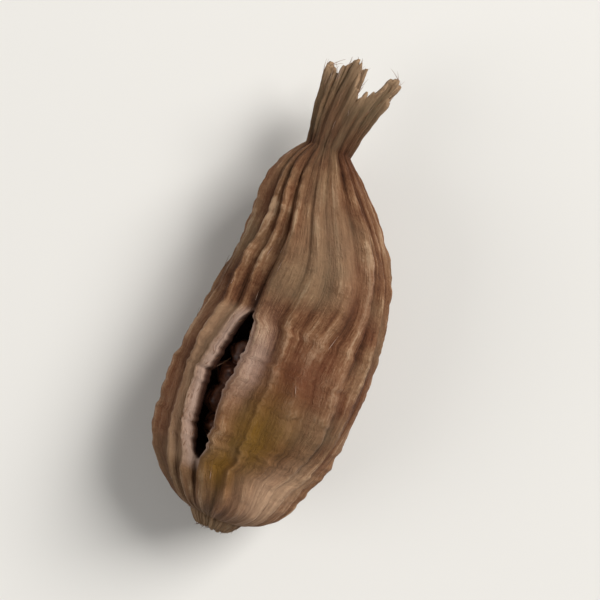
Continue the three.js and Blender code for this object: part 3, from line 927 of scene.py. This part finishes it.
def sticky_seed():
    """Seeds shrunk in drying, under a film of dried sugary pulp: almost black, with soft broken glints."""
    chosen = settings().colours
    material, tree = new_material("Dried seed in sticky pulp")
    place = add(tree, "TexCoord", out="Object")
    ridge = add(tree, "Attribute", attribute_name="ridge", out="Fac")

    # Clouds of pulp about 1.2 mm wide, and grit of 0.17 mm, coarser than real grit so that it shows.
    clouds = add(tree, "TexNoise", {"Vector": place, "Scale": 0.8 / MM, "Detail": 4.0})
    tone = add(tree, "Math", (ridge, 0.45, clouds), operation="MULTIPLY_ADD")
    colour = add(tree, "ValToRGB", {"Fac": tone}, stops=[
        (0.35, chosen.seed_dark), (0.95, chosen.seed_pale), (0.65, chosen.seed)])
    gloss = add(tree, "MapRange", {0: clouds, 1: 0.3, 2: 0.7, 3: 0.32, 4: 0.6})
    grit = add(tree, "TexNoise", {"Vector": place, "Scale": 6 / MM, "Detail": 3.0})
    bump = add(tree, "Bump", {"Strength": 0.7, "Distance": 0.06 * MM, "Height": grit})
    return shaded(material, Base_Color=colour, Roughness=gloss, Normal=bump, Specular_IOR_Level=0.4, IOR=1.48,
                  Coat_Weight=0.1, Coat_Roughness=0.3)


def pale_board():
    """A plain painted board: even, pale and matt."""
    material, tree = new_material("Pale painted board")
    place = add(tree, "TexCoord", out="Object")

    # Soft clouds about 70 mm wide, where the coat is thicker or thinner.
    soft = add(tree, "TexNoise", {"Vector": place, "Scale": 14.0, "Detail": 3.0})
    floor = settings().colours.floor
    dimmer = (*(0.96 * channel for channel in floor[:3]), 1.0)
    colour = add(tree, "Mix", {MIX_FACTOR: soft, MIX_A: floor, MIX_B: dimmer},
                 out=MIX_RESULT, data_type="RGBA")
    return shaded(material, Base_Color=colour, Roughness=0.85, Specular_IOR_Level=0.2)


# Settings

def size_property(label, about, default):
    return bpy.props.FloatProperty(
        name=label, description=about, default=default * MM, min=0, precision=5,
        unit="LENGTH", subtype="DISTANCE")


def number_property(label, about, default, **limits):
    return bpy.props.FloatProperty(name=label, description=about, default=default, **limits)


def colour_property(label, about, code):
    return bpy.props.FloatVectorProperty(
        name=label, description=about, default=linear(code), size=4, min=0, max=1, subtype="COLOR")


class HuskSettings(bpy.types.PropertyGroup):
    fibre_depth: size_property("Fibre depth", "Height of the fine lengthwise fibres", 0.15)
    wrinkle_depth: size_property("Wrinkle depth", "Height of the cross wrinkles that drying leaves", 0.2)
    pucker_depth: size_property("Pucker depth", "Height of the broad uneven swellings", 0.28)
    lip_jags: size_property("Lip jags", "Size of the jags of the split's torn lips", 0.1)
    furrow_depth: size_property("Furrow depth", "Depth of the furrow beyond the split's ends", 0.3)
    tuft_fray: size_property("Tuft fray", "Size of the tears in the tuft's edge", 0.3)
    tuft_curl: size_property("Tuft curl", "How far the tuft's lobes curl in and out", 0.3)
    scar_grain: size_property("Scar grain", "Height of the broken bundles on the stalk scar", 0.16)
    rib_knots: number_property("Rib knots", "How uneven the ribs' crests are", 0.1, min=0, max=1)
    fibres_per_mm: number_property("Fibres per millimetre", "How close the fibres lie", 0.95, min=0.1, max=4)
    wrinkles_per_mm: number_property(
        "Wrinkles per millimetre", "How close the wrinkles lie", 1.15, min=0.1, max=4)


class SeedSettings(bpy.types.PropertyGroup):
    voxel: size_property("Fusing grain", "Fineness with which seeds and pulp are fused", 0.1)
    ridge_height: size_property("Ridge height", "Height of the wrinkles on the seeds", 0.07)
    turn: number_property("Turn", "How far the seeds turn at random", 0.35, min=0, max=1.5, subtype="ANGLE")
    shapes: bpy.props.IntProperty(
        name="Shapes", description="How many unlike seed shapes there are", default=5, min=1, max=10)


class StrandSettings(bpy.types.PropertyGroup):
    radius: size_property("Fibre radius", "Radius of a loose fibre at its root", 0.035)
    on_ribs: number_property("Fibres on ribs", "Loose fibres for each square centimetre of rib", 16, min=0)
    on_tuft: number_property("Fibres on tuft", "Fibres for each square centimetre of the tuft", 150, min=0)


class StageSettings(bpy.types.PropertyGroup):
    lean: number_property(
        "Lean", "How far the pod leans to the right in the picture", math.radians(21.5), subtype="ANGLE")
    tilt: number_property(
        "Tilt", "How far the camera leaves the vertical, towards the split", math.radians(3), subtype="ANGLE")
    lens: number_property("Lens", "Focal length of the camera in millimetres", 100, min=10, max=300)
    view_width: size_property("View width", "Width of what the camera sees at the pod", 49)
    floor_radius: size_property("Floor radius", "Radius of the floor", 900)
    key_power: number_property(
        "Key light", "Power of the large soft light", 9.7, min=0, subtype="POWER")
    fill_power: number_property(
        "Fill light", "Power of the light from the other side", 2.7, min=0, subtype="POWER")
    sky: number_property("Sky", "Brightness of the even light from all round", 0.24, min=0)


class ColourSettings(bpy.types.PropertyGroup):
    # The darkest colour: the grooves, dark as smoke colour and as painted shade, and also the painted shade
    # of the tuft's throat and of the split's closed end.
    groove: colour_property("Groove", "Soot in the grooves", "1f0c04")
    flank: colour_property("Flank", "Flanks of the ribs", "3f210c")
    body: colour_property("Body", "Skin between groove and crest", "603a21")
    crest: colour_property("Crest", "Crests of the ribs", "815b3d")
    # Pale colour of the rubbed crests. It also paints their highlight and the band of painted light beside
    # the lower lip.
    wear_and_light: colour_property("Worn", "Where the crests are rubbed", "a98869")
    tuft: colour_property("Tuft", "Papery remains of the flower", "8c785a")
    scar: colour_property("Scar", "Broken fibres of the stalk", "977b5b")
    # Painted shade: the inside of the husk is coloured as dark as the shade in the split.
    shaded_lining: colour_property("Lining", "Inside of the husk", "2c130c")
    # Pale as torn fibre and as a painted highlight on the raised edge.
    lip: colour_property("Lip", "Torn edge of the split", "b69b8b")
    # The pale end beside the stalk is a painted highlight.
    pale: colour_property("Pale", "The rubbed end beside the stalk", "cca685")
    rust: colour_property("Rust", "Reddish patches of the skin", "60301a")
    ash: colour_property("Ash", "Greyish patches where smoke and dust have settled", "7c6b50")
    ochre: colour_property("Ochre", "Yellowish stain beside the split", "6f4d04")
    seed: colour_property("Seed", "Seed skin", "37180d")
    seed_dark: colour_property("Dark seed", "Pulp between the seeds", "1c0c06")
    seed_pale: colour_property("Pale seed", "Ridges of the seed skin", "653c26")
    floor: colour_property("Floor", "The floor", "dcd9d3")


class PodSettings(bpy.types.PropertyGroup):
    husk: bpy.props.PointerProperty(type=HuskSettings)
    seeds: bpy.props.PointerProperty(type=SeedSettings)
    strands: bpy.props.PointerProperty(type=StrandSettings)
    stage: bpy.props.PointerProperty(type=StageSettings)
    colours: bpy.props.PointerProperty(type=ColourSettings)


def settings():
    return bpy.context.scene.pod


# Operators

def discard(piece):
    mesh = piece.data
    bpy.data.objects.remove(piece)
    bpy.data.meshes.remove(mesh)


def belongs(piece):
    """A finished piece of the pod: it rides with the pod."""
    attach(piece, "root")


class POD_OT_make_husk(bpy.types.Operator):
    """Makes the ribbed husk with its scar, split and tuft"""
    bl_idname = "pod.make_husk"
    bl_label = "Make husk"

    def execute(self, context):
        chosen = settings().husk
        form = plain_object("husk_form", husk_mesh())
        husk = grow("husk_skin", form, fine_relief_tree(), {
            "Fibre depth": chosen.fibre_depth, "Fibres per millimetre": chosen.fibres_per_mm,
            "Wrinkle depth": chosen.wrinkle_depth, "Wrinkles per millimetre": chosen.wrinkles_per_mm,
            "Pucker depth": chosen.pucker_depth, "Material": smoked_husk(),
        })
        discard(form)
        belongs(husk)
        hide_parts("husk")
        return {"FINISHED"}


class POD_OT_make_strands(bpy.types.Operator):
    """Makes the loose fibres on the ribs, the lips, the scar and the tuft"""
    bl_idname = "pod.make_strands"
    bl_label = "Make loose fibres"

    def execute(self, context):
        chosen = settings().strands
        tree = strands_tree()
        common = {"Radius": chosen.radius, "Material": frayed_fibre()}
        labels = ("Weight", "Density", "Seed", "Length", "Sway", "Bend", "Rise", "Spread")
        on_ribs, on_tuft = chosen.on_ribs * PER_SQUARE_METRE, chosen.on_tuft * PER_SQUARE_METRE
        places = {
            "rib_fibres": ("crest", on_ribs, 3, 1.8 * MM, 0.12 * MM, 0.03, 0.03, 0.12),
            "lip_fibres": ("lip", 2 * on_tuft, 5, 0.6 * MM, 0.1 * MM, 0.05, 0.3, 0.7),
            "tuft_fibres": ("tuft", on_tuft, 8, 1.3 * MM, 0.3 * MM, 0.05, 0.15, 0.2),
            "scar_fibres": ("scar", 2 * on_tuft, 13, 0.6 * MM, 0.1 * MM, 0.05, 0.3, 0.4),
        }
        for name, place in places.items():
            values = {**common, **dict(zip(labels, place))}
            belongs(grow(name, bpy.data.objects["husk_skin"], tree, values))
        return {"FINISHED"}


def seed_shape(name, seed, planes=13, sharpness=16):
    """An angular seed: a ball that its neighbours have pressed flat on all sides."""
    index = np.arange(planes)
    height = 1 - (2 * index + 1) / planes
    turned = index * TURN * GOLDEN_SHARE + 0.9 * draw(index, seed)
    level = np.sqrt(1 - height**2)
    normals = np.stack([level * np.cos(turned), level * np.sin(turned), height], axis=-1)
    distances = 0.84 + 0.14 * draw(index, seed + 1)
    mesh = bpy.data.meshes.new(name)
    ball = bmesh.new()
    bmesh.ops.create_icosphere(ball, subdivisions=4, radius=1)
    for vertex in ball.verts:
        pressed = np.maximum(0, normals @ np.array(vertex.co)) / distances
        vertex.co *= float((pressed**sharpness).sum() ** (-1 / sharpness))
    ball.to_mesh(mesh)
    ball.free()
    return mesh


def seed_places(half_way, shift):
    """Points in two rows under the split, with the sizes of their seeds. The rows taper at both ends."""
    side, place = np.meshgrid([-1, 1], np.arange(SEEDS_IN_A_ROW), indexing="ij")
    along = (place - (SEEDS_IN_A_ROW - 1) / 2) * SEED_PITCH + SEED_ROW_SHIFT * side
    seed = 1 + place + np.where(side > 0, SEEDS_IN_A_ROW, 0)
    taper = 1 - SEED_ROW_TAPER * (along / (SEED_PITCH * 2)) ** 2
    depth = SEED_DEPTH + SEED_DEPTH_SPREAD * (draw(seed, 8) - 0.5)
    centres = inside_split(half_way + along, side * SEED_ROW_OFFSET * taper, depth).reshape(-1, 3) + shift
    sizes = mix(1, taper, 0.4).reshape(-1, 1) * SEED_HALF_SIZE
    points = bpy.data.meshes.new("seed_places")
    points.from_pydata((centres * MM).tolist(), [], [])
    size = points.attributes.new("size", "FLOAT_VECTOR", "POINT")
    size.data.foreach_set("vector", (sizes * MM).astype(np.float32).ravel())
    return points


def pulp_lump(half_way, shift):
    """The lump of dried pulp that holds the seeds, turned to face the split."""
    mesh = seed_shape("pulp", 90)
    centre = Vector((inside_split(np.array(half_way), 0.0, PULP_DEPTH) + shift) * MM)
    size = Matrix.Diagonal(Vector(PULP_HALF_SIZE * MM)).to_4x4()
    facing_split = Matrix.Rotation(SPLIT_ANGLE - math.pi / 2, 4, "X")
    mesh.transform(Matrix.Translation(centre) @ facing_split @ size)
    return mesh


class POD_OT_make_seeds(bpy.types.Operator):
    """Makes the seeds in their pulp under the split"""
    bl_idname = "pod.make_seeds"
    bl_label = "Make seeds"

    def execute(self, context):
        chosen = settings().seeds
        half_way, shift = (SPLIT_START + SPLIT_END) / 2, frame_shift()
        places = plain_object("seed_places", seed_places(half_way, shift))
        shapes = bpy.data.collections.new("seed_shapes")
        for k in range(chosen.shapes):
            name = f"seed_shape_{k}"
            shapes.objects.link(bpy.data.objects.new(name, seed_shape(name, 60 + 2 * k)))
        pulp = plain_object("pulp", pulp_lump(half_way, shift))
        material = sticky_seed()
        loose = grow("loose_seeds", places, seeds_tree(), {
            "Shapes": shapes, "Pulp": pulp, "Turn": chosen.turn, "Seed": 4, "Material": material})
        fuse = loose.modifiers.new("fuse", "REMESH")
        fuse.mode, fuse.voxel_size, fuse.use_smooth_shade = "VOXEL", chosen.voxel, True
        fused = plain_object("fused_seeds", evaluated_mesh(loose, "fused_seeds"))
        seeds = grow("seed_mass", fused, shrivel_tree(), {
            "Ridges per millimetre": SEED_RIDGES_PER_MM, "Ridge height": chosen.ridge_height,
            "Material": material})
        for piece in (places, pulp, loose, fused, *shapes.objects):
            discard(piece)
        bpy.data.collections.remove(shapes)
        belongs(seeds)
        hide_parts("seeds")
        return {"FINISHED"}


def area_light(name, place, target, size, power):
    """A square soft light, turned towards the pod."""
    light = bpy.data.lights.new(name, "AREA")
    light.size, light.energy = size, power
    lamp = bpy.data.objects.new(name, light)
    lamp.location = place
    lamp.rotation_euler = (target - place).to_track_quat("-Z", "Y").to_euler()
    bpy.context.scene.collection.objects.link(lamp)


class POD_OT_make_stage(bpy.types.Operator):
    """Makes the floor, the lights and the camera"""
    bl_idname = "pod.make_stage"
    bl_label = "Make stage"

    def execute(self, context):
        chosen = settings().stage
        floor_mesh = bpy.data.meshes.new("floor")
        board = bmesh.new()
        bmesh.ops.create_circle(board, cap_ends=True, radius=chosen.floor_radius, segments=96)
        board.to_mesh(floor_mesh)
        board.free()
        floor = plain_object("floor", floor_mesh)
        floor.data.materials.append(pale_board())

        up = Vector((math.cos(chosen.lean), math.sin(chosen.lean), 0))
        right = Vector((math.sin(chosen.lean), -math.cos(chosen.lean), 0))
        target = (CAD_LOW + CAD_HIGH) / 2
        camera_data = bpy.data.cameras.new("camera")
        camera_data.lens = chosen.lens
        camera = bpy.data.objects.new("camera", camera_data)
        distance = chosen.view_width * chosen.lens / camera_data.sensor_width
        back = Vector((0, math.sin(chosen.tilt), math.cos(chosen.tilt)))
        across = up.cross(back).normalized()
        turned = Matrix((across, back.cross(across), back)).transposed()
        camera.matrix_world = Matrix.Translation(target + back * distance) @ turned.to_4x4()
        camera_data.clip_start, camera_data.clip_end = distance / 50, distance * 50
        context.scene.collection.objects.link(camera)
        context.scene.camera = camera

        # Each light's offset from the pod and its size, in metres, and its power
        overhead = Vector((0, 0, 1))
        lights = {
            "key_light": (0.54 * right + 0.3 * up + 0.6 * overhead, 0.48, chosen.key_power),
            "fill_light": (-0.72 * right - 0.06 * up + 0.48 * overhead, 0.6, chosen.fill_power),
        }
        for name, (offset, size, power) in lights.items():
            area_light(name, target + offset, target, size, power)
        context.scene.view_settings.view_transform = "Standard"
        world = bpy.data.worlds.new("studio")
        world.use_nodes = True
        sky = world.node_tree.nodes["Background"]
        sky.inputs["Color"].default_value = linear("f4f5f7")
        sky.inputs["Strength"].default_value = chosen.sky
        context.scene.world = world
        return {"FINISHED"}


class POD_PT_panel(bpy.types.Panel):
    """Lists the sizes, the colours and the steps of the pod"""
    bl_label = "Black Cardamom Pod"
    bl_idname = "POD_PT_panel"
    bl_space_type = "VIEW_3D"
    bl_region_type = "UI"
    bl_category = "Pod"

    def draw(self, context):
        steps = {
            "husk": POD_OT_make_husk, "seeds": POD_OT_make_seeds, "strands": POD_OT_make_strands,
            "stage": POD_OT_make_stage, "colours": None,
        }
        for name, step in steps.items():
            box = self.layout.box()
            box.label(text=name.capitalize())
            group = getattr(context.scene.pod, name)
            for label in group.bl_rna.properties.keys():
                if label not in ("rna_type", "name"):
                    box.prop(group, label)
            if step:
                box.operator(step.bl_idname)


CLASSES = (
    HuskSettings, SeedSettings, StrandSettings, StageSettings, ColourSettings, PodSettings,
    POD_OT_make_husk, POD_OT_make_seeds, POD_OT_make_strands, POD_OT_make_stage, POD_PT_panel,
)


def register():
    for cls in CLASSES:
        bpy.utils.register_class(cls)
    bpy.types.Scene.pod = bpy.props.PointerProperty(type=PodSettings)


def unregister():
    del bpy.types.Scene.pod
    for cls in reversed(CLASSES):
        bpy.utils.unregister_class(cls)


def main():
    register()
    bpy.ops.pod.make_husk()
    bpy.ops.pod.make_seeds()
    bpy.ops.pod.make_strands()
    bpy.ops.pod.make_stage()


if __name__ == "__main__":
    main()
